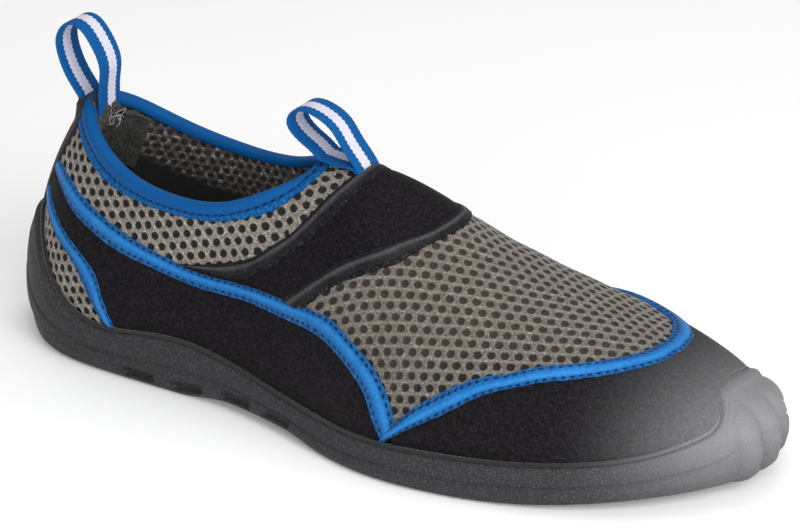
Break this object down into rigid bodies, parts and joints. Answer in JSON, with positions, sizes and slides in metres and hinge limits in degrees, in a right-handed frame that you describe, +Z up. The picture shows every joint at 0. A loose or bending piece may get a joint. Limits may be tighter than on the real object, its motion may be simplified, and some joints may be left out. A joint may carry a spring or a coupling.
{
  "type": "water shoe",
  "caption": "Slip-on water shoe for the right foot: mesh and foam-cloth upper with bound collar, taped seams and two pull loops on a moulded cup sole.",
  "frame": {"origin": "on the floor under the middle of the shoe's overall box", "axes": "+X towards the toe along the length, -Y towards the outer side of the right foot, +Z up"},
  "size_m": [0.2902, 0.1068, 0.1172],
  "materials": {
    "sole_rubber": "satin pebbled",
    "insole_foam": "matte",
    "upper_cloth": "matte",
    "blue_tape": "satin",
    "black_tape": "matte",
    "webbing": "satin ribbed"
  },
  "bodies": {
    "root": {"outsole": "sole_rubber", "insole": "insole_foam", "upper": "upper_cloth", "collar_binding": "blue_tape", "heel_strip": "black_tape", "side_tape_outer": "blue_tape", "side_tape_inner": "blue_tape", "vamp_tape": "blue_tape", "heel_tape_outer": "blue_tape", "heel_tape_inner": "blue_tape", "saddle_rear_tape": "black_tape", "saddle_front_tape": "black_tape", "heel_pull_loop": "webbing", "instep_pull_loop": "webbing"}
  },
  "joints": []
}
